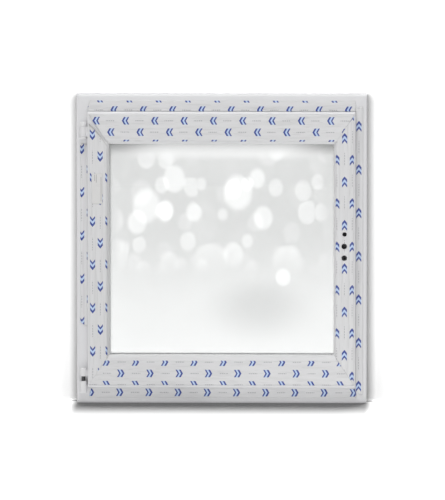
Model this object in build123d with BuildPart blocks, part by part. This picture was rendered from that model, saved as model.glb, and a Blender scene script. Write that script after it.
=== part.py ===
from build123d import *
from math import cos, radians, sin
from typing import NamedTuple
import os

# A small white PVC window with one turning sash, glazed, delivered without its handle.
# X runs along the width, Z up, and Y through the wall: the room is at -Y, the weather at +Y.
# The origin is the middle of the sill's underside. All sizes are in millimetres.

# Overall size of the fixed frame, and how wide an upright's profile is beside a crosspiece's.
WIDTH = 535.0
HEIGHT = 570.0
UPRIGHT_SHARE = 0.674

# Sizes across a crosspiece, from the outer edge of the window towards the glass.
FRAME_STRIP = 30.5
SASH_FACE = 60.0
LIP_OVERLAP = 9.5
HARDWARE_GAP = 12.0
REBATE_RISE = 20.0
BEAD_FACE = 17.5
BEAD_NOSE = (10.0, 13.0)
GLASS_BITE = 12.5

# Sizes through the wall.
FRAME_DEPTH = 60.0
SASH_DEPTH = 60.0
SASH_PROUD = 16.0
LIP_THICKNESS = 12.0
FLANGE_THICKNESS = 12.0
PANE = 4.0
PANE_GAP = 16.0
GLAZING_SEAL = 3.0

# Walls, grooves and edges of the extrusions.
WALL = 2.8
WEB = 2.6
LIP_ROUND = 4.5
FRAME_EASE = 4.0
EDGE_BEVEL = 1.5
FLANGE_BEVEL = 5.0
SEAL_GROOVE = 3.0
CLIP_GROOVE = 3.0
CLIP_GROOVE_WIDTH = 8.0
CLIP_GROOVE_PLACE = 16.0
FOOT_DEPTH = 2.0
WELD_WIDTH = 1.6
WELD_DEPTH = 0.5

# Handle drilling in the right stile: two screw holes with the spindle's hole between them.
HANDLE_PITCH = 43.0
HANDLE_HOLE = 10.0
WEB_HOLE = 11.4
HANDLE_HEIGHT = 292.0
SPINDLE = 7.0
LOCK_SCREW = 5.0
LOCK_CASE = (8.8, 12.0, 76.0)

# Hinges on the left of the sash, by the height of their middles.
BARREL_RADIUS = 6.0
BARREL_GAP = 2.0
HINGE_PLATE = 2.5
HINGE_CLEAR = 0.15
HINGE_CAP = 4.0
PIN_HEAD = (1.3, 2.5)
UPPER_HINGE = 503.0
UPPER_PIN = 3.0
LOWER_HINGE = 46.5
LOWER_PIN = 3.5

# Drainage on the weather side of the sill.
DRAIN_PLACE = 150.0
DRAIN_HEIGHT = 14.0
DRAIN_SLOT = (28.0, 5.0)
DRAIN_CAP = (42.0, 6.0, 14.0)

# Places across a crosspiece that follow from these.
frame_land = FRAME_STRIP + LIP_OVERLAP
sash_body = frame_land + HARDWARE_GAP
flange_top = frame_land + REBATE_RISE
sight_line = FRAME_STRIP + SASH_FACE
glazing_floor = sight_line - BEAD_FACE
glass_edge = sight_line - GLASS_BITE

# Places through the wall that follow from these.
room_face = -FRAME_DEPTH / 2
weather_face = FRAME_DEPTH / 2
sash_room = room_face - SASH_PROUD
lip_back = sash_room + LIP_THICKNESS
sash_back = sash_room + SASH_DEPTH
flange_front = weather_face - FLANGE_THICKNESS
glazing_stop = sash_back - FLANGE_THICKNESS
outer_pane_back = glazing_stop - GLAZING_SEAL
outer_pane_front = outer_pane_back - PANE
inner_pane_back = outer_pane_front - PANE_GAP
inner_pane_front = inner_pane_back - PANE
bead_back = inner_pane_front - GLAZING_SEAL
bead_foot = (bead_back - 7, bead_back - 4)
sash_web = (lip_back - 2, lip_back - 2 + WEB)

# The middle of the handle stile's chambers, and the hinge axis beside the sash's left edge.
handle_x = WIDTH / 2 - UPRIGHT_SHARE * (sash_body + glazing_floor - FOOT_DEPTH) / 2
sash_left = -WIDTH / 2 + UPRIGHT_SHARE * FRAME_STRIP
hinge_x = sash_left - BARREL_RADIUS - BARREL_GAP
hinge_y = sash_room + BARREL_RADIUS
hinge_plate_front = room_face - HINGE_PLATE

os.makedirs("parts", exist_ok=True)


def keep(part, label):
    """Names a finished piece and writes it."""
    part.label = label
    export_step(part, f"parts/{label}.step")


class Side(NamedTuple):
    """One side of the window: its section's plane (across, then through the wall) and its cuts."""

    plane: Plane
    share: float
    length: float
    cuts: tuple


def corner_cut(side_x, side_z, towards):
    """A corner's diagonal cut, its normal into the crosspiece (towards 1) or the upright (-1)."""
    corner = (side_x * WIDTH / 2, 0, HEIGHT if side_z > 0 else 0)
    return Plane(origin=corner, z_dir=(-side_x * towards, 0, UPRIGHT_SHARE * side_z * towards))


def crosspiece(side_z):
    """The top (1) or bottom (-1) of the window, drawn from its outer edge inwards."""
    edge = (0, 0, HEIGHT if side_z > 0 else 0)
    plane = Plane(origin=edge, x_dir=(0, 0, -side_z), z_dir=(side_z, 0, 0))
    return Side(plane, 1.0, WIDTH, (corner_cut(-1, side_z, 1), corner_cut(1, side_z, 1)))


def upright(side_x):
    """The left (-1) or right (1) of the window, drawn from its outer edge inwards."""
    edge = (side_x * WIDTH / 2, 0, HEIGHT / 2)
    plane = Plane(origin=edge, x_dir=(-side_x, 0, 0), z_dir=(0, 0, -side_x))
    return Side(plane, UPRIGHT_SHARE, HEIGHT, (corner_cut(side_x, -1, -1), corner_cut(side_x, 1, -1)))


SIDES = {"top": crosspiece(1), "bottom": crosspiece(-1), "left": upright(-1), "right": upright(1)}


def oblong(share, across, through, mode=Mode.SUBTRACT):
    """Takes a rectangle from the section being drawn, or adds one to it."""
    with Locations(((across[0] + across[1]) / 2 * share, (through[0] + through[1]) / 2)):
        Rectangle((across[1] - across[0]) * share, through[1] - through[0], mode=mode)


def seal_seat(middle):
    """The limits across of a groove for a seal's foot."""
    return (middle - SEAL_GROOVE / 2, middle + SEAL_GROOVE / 2)


frame_seal_seat = seal_seat(flange_top - 5.5)
sash_seal_seat = seal_seat(FRAME_STRIP + 4)


def frame_section(side):
    """The fixed frame's L, eased at its outer room edge: a land under the sash's lip and a flange."""
    share = side.share
    eased_edge = [
        (FRAME_EASE * share * (1 - cos(radians(turn))), room_face + FRAME_EASE * (1 - sin(radians(turn))))
        for turn in (0, 30, 60, 90)
    ]
    chamber = (CLIP_GROOVE + WALL, frame_land - WALL)
    stiffened = (-16.0, 8.0)
    with BuildSketch(side.plane) as section:
        with BuildLine():
            Polyline(
                *eased_edge,
                (frame_land * share, room_face),
                (frame_land * share, flange_front),
                (flange_top * share, flange_front),
                (flange_top * share, weather_face - FLANGE_BEVEL),
                ((flange_top - FLANGE_BEVEL) * share, weather_face),
                (EDGE_BEVEL * share, weather_face),
                (0, weather_face - EDGE_BEVEL),
                close=True,
            )
        make_face()
        oblong(share, chamber, (room_face + WALL, stiffened[0] - WEB))
        oblong(share, chamber, stiffened)
        oblong(share, chamber, (stiffened[1] + WEB, weather_face - WALL))
        oblong(share, (frame_land, frame_land + 10), (flange_front + WALL, weather_face - WALL))
        for place in (-CLIP_GROOVE_PLACE, CLIP_GROOVE_PLACE):
            oblong(share, (0, CLIP_GROOVE), (place - CLIP_GROOVE_WIDTH / 2, place + CLIP_GROOVE_WIDTH / 2))
        oblong(share, frame_seal_seat, (flange_front, flange_front + SEAL_GROOVE))
    return section.sketch


def sash_section(side):
    """The sash's Z: a round-edged lip over the frame, a hollow body and an outer glazing flange."""
    share = side.share
    chamber = (sash_body + WALL, glazing_floor - FOOT_DEPTH - WALL)
    front_chamber = (chamber[0] - FOOT_DEPTH, chamber[1] + FOOT_DEPTH)
    rear_web = -6.0
    with BuildSketch(side.plane) as section:
        with BuildLine():
            EllipticalCenterArc(
                ((FRAME_STRIP + LIP_ROUND) * share, sash_room + LIP_ROUND),
                LIP_ROUND * share,
                LIP_ROUND,
                180,
                arc_size=90,
            )
            Polyline(
                ((FRAME_STRIP + LIP_ROUND) * share, sash_room),
                (glazing_floor * share, sash_room),
                (glazing_floor * share, glazing_stop),
                (sight_line * share, glazing_stop),
                (sight_line * share, glazing_stop + 4),
                ((sight_line - 7) * share, sash_back),
                (sash_body * share, sash_back),
                (sash_body * share, lip_back),
                (FRAME_STRIP * share, lip_back),
                (FRAME_STRIP * share, sash_room + LIP_ROUND),
            )
        make_face()
        oblong(share, (FRAME_STRIP + 2 * WALL, front_chamber[0] - WALL), (sash_room + WALL, sash_room + 7))
        oblong(share, front_chamber, (sash_room + WALL, sash_web[0]))
        oblong(share, chamber, (sash_web[1], rear_web))
        oblong(share, chamber, (rear_web + WEB, sash_back - WALL))
        oblong(share, (glazing_floor, glazing_floor + 8), (glazing_stop + WALL, sash_back - WALL))
        oblong(share, sash_seal_seat, (lip_back - SEAL_GROOVE, lip_back))
        oblong(share, (glazing_floor - FOOT_DEPTH, glazing_floor), bead_foot)
    return section.sketch


def bead_section(side):
    """A hollow glazing bead with a snap foot: flat at the sash's face, then a nose down to the glass."""
    share = side.share
    nose_start = sight_line - BEAD_NOSE[0]
    nose = [
        (
            (nose_start + BEAD_NOSE[0] * sin(radians(turn))) * share,
            sash_room + BEAD_NOSE[1] * (1 - cos(radians(turn))),
        )
        for turn in (0, 30, 60, 90)
    ]
    wall = 2.4
    with BuildSketch(side.plane) as section:
        with BuildLine():
            Polyline(
                (glazing_floor * share, sash_room),
                *nose,
                (sight_line * share, bead_back),
                (glazing_floor * share, bead_back),
                close=True,
            )
        make_face()
        oblong(share, (glazing_floor + wall, nose_start), (sash_room + wall, bead_back - wall))
        oblong(share, (glazing_floor - FOOT_DEPTH, glazing_floor), bead_foot, Mode.ADD)
    return section.sketch


def mitred_bar(side, section, weld_face=None):
    """A length of profile cut to both corners, with the cleaned weld's groove along each cut."""
    with BuildPart() as bar:
        extrude(section(side), amount=side.length / 2, both=True)
        for cut in side.cuts:
            split(bisect_by=cut, keep=Keep.TOP)
        for cut in side.cuts if weld_face is not None else ():
            seam = Plane(origin=(cut.origin.X, weld_face, cut.origin.Z), x_dir=cut.x_dir, z_dir=cut.z_dir)
            with Locations(seam.location):
                Box(2 * HEIGHT, 2 * WELD_DEPTH, WELD_WIDTH, mode=Mode.SUBTRACT)
    return bar.part


def ring(*bands):
    """A rectangular ring of one or more bands, each given by its limits across and through the wall."""
    with BuildPart() as piece:
        for across, through in bands:
            base = Plane(origin=(0, through[0], HEIGHT / 2), x_dir=(1, 0, 0), z_dir=(0, 1, 0))
            with BuildSketch(base):
                Rectangle(WIDTH - 2 * UPRIGHT_SHARE * across[0], HEIGHT - 2 * across[0])
                Rectangle(
                    WIDTH - 2 * UPRIGHT_SHARE * across[1], HEIGHT - 2 * across[1], mode=Mode.SUBTRACT
                )
            extrude(amount=through[1] - through[0])
    return piece.part


# The fixed frame: four welded lengths, the lower one slotted to drain to the weather side.
keep(mitred_bar(SIDES["top"], frame_section, room_face), "frame_head")
keep(mitred_bar(SIDES["left"], frame_section, room_face), "frame_left_jamb")
keep(mitred_bar(SIDES["right"], frame_section, room_face), "frame_right_jamb")

sill_bar = mitred_bar(SIDES["bottom"], frame_section, room_face)
with BuildPart() as frame_sill:
    add(sill_bar)
    with Locations(*[(x, weather_face, DRAIN_HEIGHT) for x in (-DRAIN_PLACE, DRAIN_PLACE)]):
        Box(DRAIN_SLOT[0], 3 * WALL, DRAIN_SLOT[1], mode=Mode.SUBTRACT)
keep(frame_sill.part, "frame_sill")

# Hooded caps over the two drain slots, open below.
for side_x, label in ((-1, "drain_cap_left"), (1, "drain_cap_right")):
    with BuildPart() as drain_cap:
        with Locations((side_x * DRAIN_PLACE, weather_face + DRAIN_CAP[1] / 2, DRAIN_HEIGHT)):
            Box(*DRAIN_CAP)
        chamfer(drain_cap.faces().sort_by(Axis.Y)[-1].edges(), 2.0)
        with Locations((side_x * DRAIN_PLACE, weather_face + 2, DRAIN_HEIGHT - 3)):
            Box(DRAIN_CAP[0] - 6, 4, DRAIN_CAP[2], mode=Mode.SUBTRACT)
    keep(drain_cap.part, label)

# The sash: four welded lengths, the right one drilled for a handle.
keep(mitred_bar(SIDES["top"], sash_section, sash_room), "sash_top_rail")
keep(mitred_bar(SIDES["bottom"], sash_section, sash_room), "sash_bottom_rail")
keep(mitred_bar(SIDES["left"], sash_section, sash_room), "sash_left_stile")

handle_face = Plane(origin=(handle_x, sash_room, HANDLE_HEIGHT), x_dir=(1, 0, 0), z_dir=(0, -1, 0))
handle_bar = mitred_bar(SIDES["right"], sash_section, sash_room)
with BuildPart() as sash_right_stile:
    add(handle_bar)
    with Locations(handle_face.location):
        with Locations((0, -HANDLE_PITCH / 2), (0, HANDLE_PITCH / 2)):
            Hole(HANDLE_HOLE / 2, depth=sash_web[1] - sash_room)
        Hole(HANDLE_HOLE / 2, depth=WALL)
    with Locations(handle_face.offset(sash_room - sash_web[0]).location):
        Hole(WEB_HOLE / 2, depth=WEB)
keep(sash_right_stile.part, "sash_right_stile")

# The lock's case inside that stile, with a square follower and two tapped screw holes.
with BuildPart() as lock_case:
    with Locations((handle_x, sash_web[1] + LOCK_CASE[1] / 2, HANDLE_HEIGHT)):
        Box(*LOCK_CASE)
        Box(SPINDLE, LOCK_CASE[1], SPINDLE, mode=Mode.SUBTRACT)
    with Locations(handle_face.offset(sash_room - sash_web[1]).location):
        with Locations((0, -HANDLE_PITCH / 2), (0, HANDLE_PITCH / 2)):
            Hole(LOCK_SCREW / 2, depth=LOCK_CASE[1])
keep(lock_case.part, "lock_case")

# Glazing beads on the room side.
for name, side in SIDES.items():
    keep(mitred_bar(side, bead_section), f"bead_{name}")

# The double-glazed unit: two panes, a spacer bar between them and the sealant round its edge.
pane_size = (WIDTH - 2 * UPRIGHT_SHARE * glass_edge, PANE, HEIGHT - 2 * glass_edge)
for label, front in (("inner_pane", inner_pane_front), ("outer_pane", outer_pane_front)):
    with BuildPart() as pane:
        with Locations((0, front + PANE / 2, HEIGHT / 2)):
            Box(*pane_size)
        chamfer(pane.edges(), 0.6)
    keep(pane.part, label)
between_panes = (inner_pane_back, outer_pane_front)
keep(ring(((glass_edge + 5, sight_line - 1), between_panes)), "spacer_bar")
keep(ring(((glass_edge + 1, glass_edge + 5), between_panes)), "edge_seal")

# Seals: flat strips against the glass, and two strips with feet in their grooves.
glass_contact = (glass_edge + 3, sight_line - 0.5)
keep(ring((glass_contact, (bead_back, inner_pane_front))), "glazing_seal_inner")
keep(ring((glass_contact, (outer_pane_back, glazing_stop))), "glazing_seal_outer")
sash_seal_strip = (sash_seal_seat[0] - 0.8, sash_seal_seat[1] + 1.2)
sash_seal_foot = (sash_seal_seat, (lip_back - SEAL_GROOVE, lip_back))
keep(ring((sash_seal_strip, (lip_back, room_face)), sash_seal_foot), "sash_seal")
frame_seal_strip = (frame_seal_seat[0] - 1.2, frame_seal_seat[1] + 1.2)
frame_seal_foot = (frame_seal_seat, (flange_front, flange_front + SEAL_GROOVE))
keep(ring((frame_seal_strip, (sash_back, flange_front)), frame_seal_foot), "frame_seal")


def knuckle_outline(height, back=None, arm=None):
    """A knuckle's outline at a height, with a web back to the frame or an arm across to the sash."""
    with BuildSketch(Plane.XY.offset(height)) as outline:
        with Locations((hinge_x, hinge_y)):
            Circle(BARREL_RADIUS)
        if back is not None:
            with Locations((hinge_x, (hinge_y + back) / 2)):
                Rectangle(2 * BARREL_RADIUS, back - hinge_y)
        if arm is not None:
            with Locations(((hinge_x + arm) / 2, hinge_y + 1.5)):
                Rectangle(arm - hinge_x, BARREL_RADIUS)
    return outline.sketch


def frame_bearing(plate, knuckles, pin_radius):
    """The hinge's half on the jamb: a plate with one or more knuckles standing on it."""
    with BuildPart() as bearing:
        with Locations((hinge_x, (room_face + hinge_plate_front) / 2, (plate[0] + plate[1]) / 2)):
            Box(2.5 * BARREL_RADIUS, HINGE_PLATE, plate[1] - plate[0])
        fillet(bearing.edges().filter_by(Axis.Y), 2.0)
        for low, high in knuckles:
            extrude(knuckle_outline(low, back=hinge_plate_front), amount=high - low)
        with Locations((hinge_x, hinge_y, plate[1])):
            Hole(pin_radius + HINGE_CLEAR, depth=plate[1] - plate[0])
    return bearing.part


def sash_arm(low, high, pin_radius):
    """The hinge's half on the sash: one knuckle with an arm to the edge of the stile."""
    with BuildPart() as arm:
        extrude(knuckle_outline(low, arm=sash_left), amount=high - low)
        with Locations((hinge_x, hinge_y, high)):
            Hole(pin_radius + HINGE_CLEAR, depth=high - low)
    return arm.part


def hinge_pin(radius, low, high):
    """A turned pin on the hinge axis, its head resting on the knuckle at the top."""
    with BuildPart() as turned:
        with Locations((hinge_x, hinge_y, (low + high) / 2)):
            Cylinder(radius, high - low)
        with Locations((hinge_x, hinge_y, high + PIN_HEAD[1] / 2)):
            Cylinder(radius + PIN_HEAD[0], PIN_HEAD[1])
        chamfer(turned.faces().sort_by(Axis.Z)[0].edges(), 0.6)
    return turned.part


def hinge_cap(pin_radius, base):
    """A moulded cap over a pin's head, as wide as the barrel it closes."""
    with BuildPart() as cap:
        with Locations((hinge_x, hinge_y, base + HINGE_CAP / 2)):
            Cylinder(BARREL_RADIUS, HINGE_CAP)
        chamfer(cap.faces().sort_by(Axis.Z)[-1].edges(), 1.2)
        with Locations((hinge_x, hinge_y, base)):
            Cylinder(pin_radius + PIN_HEAD[0] + HINGE_CLEAR, 2 * PIN_HEAD[1] + 0.2, mode=Mode.SUBTRACT)
    return cap.part


# Upper hinge: two knuckles on the jamb, one on the sash between them, a drop-in pin and its cap.
upper_plate = (UPPER_HINGE - 14, UPPER_HINGE + 14)
upper_knuckles = ((UPPER_HINGE - 13.5, UPPER_HINGE - 9.5), (UPPER_HINGE + 9.5, UPPER_HINGE + 13.5))
keep(frame_bearing(upper_plate, upper_knuckles, UPPER_PIN), "upper_hinge_bearing")
keep(sash_arm(UPPER_HINGE - 9.2, UPPER_HINGE + 9.2, UPPER_PIN), "upper_hinge_arm")
keep(hinge_pin(UPPER_PIN, UPPER_HINGE - 13, UPPER_HINGE + 13.5), "upper_hinge_pin")
keep(hinge_cap(UPPER_PIN, UPPER_HINGE + 13.5), "upper_hinge_cap")

# Lower hinge: one knuckle on the jamb, one on the sash, the pivot bare between them, and its cap.
lower_plate = (LOWER_HINGE - 28.5, LOWER_HINGE - 6.5)
keep(frame_bearing(lower_plate, ((LOWER_HINGE - 26.5, LOWER_HINGE - 4.5),), LOWER_PIN), "lower_hinge_bearing")
keep(sash_arm(LOWER_HINGE + 4.5, LOWER_HINGE + 15.5, LOWER_PIN), "lower_hinge_arm")
keep(hinge_pin(LOWER_PIN, LOWER_HINGE - 25.5, LOWER_HINGE + 15.5), "lower_hinge_pin")
keep(hinge_cap(LOWER_PIN, LOWER_HINGE + 15.5), "lower_hinge_cap")
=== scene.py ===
# %% [markdown]
# # A small PVC window
# The solids of a white PVC window come in as finished meshes: a welded frame, a turning sash,
# glazing beads, a double-glazed unit, seals and hinges. This lesson gives each of them its real
# finish and adds what is too thin to be a solid: the printed film that protects the profiles on
# the way to the building site, a paper label, and the drying slits of the glazing's spacer bar.

# %% Load the solids
import math
from functools import partial

import bmesh
import bpy
from mathutils import Euler, Matrix, Vector


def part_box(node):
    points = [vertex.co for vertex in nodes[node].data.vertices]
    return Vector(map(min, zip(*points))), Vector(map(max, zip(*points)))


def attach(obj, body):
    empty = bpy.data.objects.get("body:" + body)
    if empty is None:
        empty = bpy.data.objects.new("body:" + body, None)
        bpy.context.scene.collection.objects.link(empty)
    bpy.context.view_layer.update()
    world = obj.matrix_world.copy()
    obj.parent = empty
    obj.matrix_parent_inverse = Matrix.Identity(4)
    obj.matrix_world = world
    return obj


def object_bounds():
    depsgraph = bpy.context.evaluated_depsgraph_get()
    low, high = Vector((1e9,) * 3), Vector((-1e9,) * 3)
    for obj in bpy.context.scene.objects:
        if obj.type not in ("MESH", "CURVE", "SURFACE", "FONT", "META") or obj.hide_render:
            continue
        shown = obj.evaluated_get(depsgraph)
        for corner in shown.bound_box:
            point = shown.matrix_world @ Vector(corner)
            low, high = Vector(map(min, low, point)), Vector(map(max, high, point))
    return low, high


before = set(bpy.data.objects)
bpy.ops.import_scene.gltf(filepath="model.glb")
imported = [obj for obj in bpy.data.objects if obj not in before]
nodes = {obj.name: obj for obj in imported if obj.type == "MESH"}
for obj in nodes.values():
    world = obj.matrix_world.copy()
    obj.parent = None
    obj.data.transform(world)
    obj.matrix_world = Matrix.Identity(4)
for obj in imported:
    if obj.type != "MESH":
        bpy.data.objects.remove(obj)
cad_box = [[float(v) for v in corner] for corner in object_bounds()]
print("solids:", len(nodes), "box:", cad_box)

# %% [markdown]
# ## Where things are across a profile
# All four sides of a frame are cut from one profile, so a place on it is best given by its distance
# from the window's outer edge. The uprights of this window are narrower than its crosspieces by one
# share, and the corners are cut so that every edge still meets its neighbour on the diagonal.

# %% Places on the profile
HALF_WIDTH = cad_box[1][0]
HEIGHT = cad_box[1][2]
UPRIGHT_SHARE = 0.674
FRAME_FACE = -0.030
SASH_FACE = -0.046
SASH_EDGE = 0.0305
BEAD_SLOPE = 0.0805
SIGHT_LINE = 0.0905


def reach(side, across):
    """Half the length of a side at a distance from the window's outer edge."""
    if side in ("top", "bottom"):
        return HALF_WIDTH - UPRIGHT_SHARE * across
    return HEIGHT / 2 - across


def share_of(side):
    """How wide a side's profile is beside a crosspiece's."""
    return 1.0 if side in ("top", "bottom") else UPRIGHT_SHARE


TURNS = {"bottom": 0, "right": -90, "top": 180, "left": 90}


def side_place(side, across, face):
    """Takes a flat drawing (along the side, inwards, out of its face) to its place on the window."""
    inset = across * share_of(side)
    origin = {
        "bottom": (0, face, inset),
        "right": (HALF_WIDTH - inset, face, HEIGHT / 2),
        "top": (0, face, HEIGHT - inset),
        "left": (-HALF_WIDTH + inset, face, HEIGHT / 2),
    }[side]
    turn = Euler((math.radians(90), math.radians(TURNS[side]), 0))
    return Matrix.Translation(origin) @ turn.to_matrix().to_4x4()


print("half width", HALF_WIDTH, "height", HEIGHT)

# %% [markdown]
# ## Camera
# The picture looks straight at the room side from a little above and a little to the right.
# A long lens from far away keeps the sides parallel, as they are there. The lens length follows
# from how much of the frame's front plane the picture's height takes in.

# %% Camera
CAMERA_DISTANCE = 12.0
VIEW_HEIGHT = 0.9215
VIEW_CENTRE = Vector((0.0016, FRAME_FACE, 0.2839))
VIEW_ELEVATION = math.radians(4.4)
VIEW_AZIMUTH = math.radians(1.5)


def add_object(name, data):
    """A new object in the scene."""
    added = bpy.data.objects.new(name, data)
    bpy.context.scene.collection.objects.link(added)
    return added


lens = bpy.data.cameras.new("camera")
lens.sensor_width = 36
lens.lens = lens.sensor_width * CAMERA_DISTANCE / VIEW_HEIGHT
camera = add_object("camera", lens)
towards_camera = Vector((
    math.sin(VIEW_AZIMUTH) * math.cos(VIEW_ELEVATION),
    -math.cos(VIEW_AZIMUTH) * math.cos(VIEW_ELEVATION),
    math.sin(VIEW_ELEVATION),
))
camera.location = VIEW_CENTRE + CAMERA_DISTANCE * towards_camera
camera.rotation_euler = towards_camera.to_track_quat("Z", "Y").to_euler()
bpy.context.scene.camera = camera
bpy.context.scene.view_settings.view_transform = "Standard"
print("lens", round(lens.lens, 1), "mm")

# %% [markdown]
# ## Small helpers for node trees
# Materials and geometry trees are both made of nodes and links. A few helpers keep that readable:
# they add a node, feed its sockets with numbers or links, do arithmetic and mix colours.

# %% Node helpers


def add_node(tree, kind, **settings):
    """Adds a node and sets its options."""
    node = tree.nodes.new(kind)
    for name, value in settings.items():
        setattr(node, name, value)
    return node


def feed(tree, socket, value):
    """Links a socket to another one, or gives it a plain value."""
    if isinstance(value, bpy.types.NodeSocket):
        tree.links.new(value, socket)
    else:
        socket.default_value = value


def wired(tree, kind, values, **settings):
    """Adds a node, feeds its inputs by name or number, and returns its first output."""
    node = add_node(tree, kind, **settings)
    for key, value in values.items():
        feed(tree, node.inputs[key], value)
    return node.outputs[0]


def calc(tree, operation, *values):
    """One step of arithmetic on numbers and sockets."""
    return wired(tree, "ShaderNodeMath", dict(enumerate(values)), operation=operation)


def product(tree, first, *others):
    """Several values multiplied together."""
    for value in others:
        first = calc(tree, "MULTIPLY", first, value)
    return first


def diagonal(tree, first, second):
    """The length that two distances at a right angle make."""
    squares = calc(tree, "MULTIPLY_ADD", first, first, calc(tree, "MULTIPLY", second, second))
    return calc(tree, "SQRT", squares)


def blend(tree, factor, first, second):
    """A colour between two colours."""
    node = add_node(tree, "ShaderNodeMix", data_type="RGBA")
    feed(tree, node.inputs[0], factor)
    for slot, colour in ((6, first), (7, second)):
        feed(tree, node.inputs[slot], (*colour, 1) if isinstance(colour, tuple) else colour)
    return node.outputs[2]


def darker(colour, share):
    """A colour with all its parts lowered."""
    return tuple(share * part for part in colour)


def stretched(tree, vector, factors):
    """A vector with its three parts scaled apart."""
    return wired(tree, "ShaderNodeVectorMath", {0: vector, 1: factors}, operation="MULTIPLY")


def noise(tree, vector, scale, detail=2.0, roughness=0.5):
    """A cloudy value from 0 to 1."""
    sizes = {"Vector": vector, "Scale": scale, "Detail": detail, "Roughness": roughness}
    return wired(tree, "ShaderNodeTexNoise", sizes)


def rescale(tree, value, low, high, new_low=0.0, new_high=1.0):
    """Stretches a range of a value to another range, and clips it there."""
    ends = {0: value, 1: low, 2: high, 3: new_low, 4: new_high}
    return wired(tree, "ShaderNodeMapRange", ends, interpolation_type="SMOOTHSTEP")


def own_place(tree):
    """Where a point is in its object's own frame."""
    return add_node(tree, "ShaderNodeTexCoord").outputs["Object"]


def new_finish(name, base_colour, roughness):
    """A material with one Principled shader, its tree and its shader."""
    material = bpy.data.materials.new(name)
    material.use_nodes = True
    tree = material.node_tree
    shader = tree.nodes["Principled BSDF"]
    shader.inputs["Base Color"].default_value = (*base_colour, 1)
    shader.inputs["Roughness"].default_value = roughness
    return material, tree, shader


def bump(tree, shader, height, strength, distance):
    """Small relief on a shader from a value."""
    relief = {"Strength": strength, "Distance": distance, "Height": height}
    feed(tree, shader.inputs["Normal"], wired(tree, "ShaderNodeBump", relief))


def paint(material, *names):
    """Gives solids a finish."""
    for name in names:
        mesh = nodes[name].data
        mesh.materials.clear()
        mesh.materials.append(material)
    print(material.name, "on", len(names), "solids")


# %% [markdown]
# ## Studio
# The window stands on a pale floor with a pale panel of wall close behind it. Both are lit as any
# surface is, so they take the window's shadow; right beside the window the floor also has a painted
# shadow that carries the wall's shadow on. For the camera, and for what mirrors or transmits, they
# also glow: the floor further from the window, so that it comes out white, and the wall behind the
# panes, with a few soft round spots of light. Behind the panes the wall is painted a little greyer:
# painted shade in their upper half and upper corners, and a grey patch low on the right. What they
# throw back at the window is kept even, as in a large bright room. The wall is only there from the
# front: it lets through lamplight and everything from behind, so the weather side can be looked at too.

# %% What glows
FLOOR_WHITE = 0.35
FLOOR_FULL_BOUNCE = 1.2
WALL_WHITE = 0.37
WALL_FULL_BOUNCE = 0.5
BEHIND_MIDDLE = (-0.002, 0.012)
SPOT_LAYERS = ((9.6, 0.27), (13.7, 0.24), (19.1, 0.18))


def aside_of(tree, x):
    """How far a place is from the window's side, negative in front of the window."""
    return calc(tree, "SUBTRACT", calc(tree, "ABSOLUTE", x), HALF_WIDTH)


def side_shadow(tree, x, y, near, far):
    """1 on the floor right beside the window, behind its middle, where a shadow is painted, and 0 further
    out.
    """
    fading = rescale(tree, aside_of(tree, x), near, far, 1.0, 0.0)
    return calc(tree, "MULTIPLY", rescale(tree, y, *BEHIND_MIDDLE), fading)


def floor_shade(tree, x, y, z):
    """Pale, with a painted shadow right beside the window that carries on the wall's shadow."""
    shadow = side_shadow(tree, x, y, 0.0, 0.016)
    return calc(tree, "MULTIPLY_ADD", shadow, -0.58 * FLOOR_WHITE, FLOOR_WHITE)


def floor_glow(tree, x, y, z):
    """No glow near the window, a full one further out, sooner at its sides."""
    beside = calc(tree, "MAXIMUM", calc(tree, "ADD", aside_of(tree, x), 0.006), 0.0)
    before = calc(tree, "MAXIMUM", calc(tree, "ADD", calc(tree, "ABSOLUTE", y), FRAME_FACE), 0.0)
    away = diagonal(tree, before, calc(tree, "MULTIPLY", beside, 20.0))
    # Less glow on the strip beside the window, so that its painted shadow shows.
    lit = calc(tree, "SUBTRACT", 1.0, side_shadow(tree, x, y, 0.008, 0.02))
    return calc(tree, "MULTIPLY", rescale(tree, away, 0.05, 0.40, 0.0, 0.9), lit)


def floor_bounce(tree, x, y, z):
    """What the floor throws back: nothing right beneath the window, an even light further out."""
    before = calc(tree, "ADD", calc(tree, "ABSOLUTE", y), FRAME_FACE)
    return rescale(tree, before, -0.015, 0.025, 0.0, FLOOR_FULL_BOUNCE)


def wall_bounce(tree, x, y, z):
    """The wall throws back the same everywhere."""
    return WALL_FULL_BOUNCE


def oval(tree, x, z, centre, radii):
    """Distance from a centre, 1 on an oval with these radii."""
    beside = calc(tree, "DIVIDE", calc(tree, "SUBTRACT", x, centre[0]), radii[0])
    above = calc(tree, "DIVIDE", calc(tree, "SUBTRACT", z, centre[1]), radii[1])
    return diagonal(tree, above, beside)


def light_spots(tree, x, z, scale, strength):
    """Soft upright ovals of several sizes, one in each cell of a loose grid, some of them dark."""
    place = wired(tree, "ShaderNodeCombineXYZ", {0: calc(tree, "MULTIPLY", x, 1.25), 1: z})
    cells = {"Vector": place, "Scale": scale, "Randomness": 0.8}
    cell = wired(tree, "ShaderNodeTexVoronoi", cells, voronoi_dimensions="2D").node.outputs
    chance = wired(tree, "ShaderNodeSeparateColor", {0: cell["Color"]}).node.outputs
    radius = calc(tree, "MULTIPLY_ADD", chance[0], 0.22, 0.29)
    disc = rescale(tree, cell["Distance"], calc(tree, "SUBTRACT", radius, 0.15), radius, 1.0, 0.0)
    return calc(tree, "MULTIPLY", disc, rescale(tree, chance[1], 0.10, 0.7, 0.0, strength))


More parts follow.
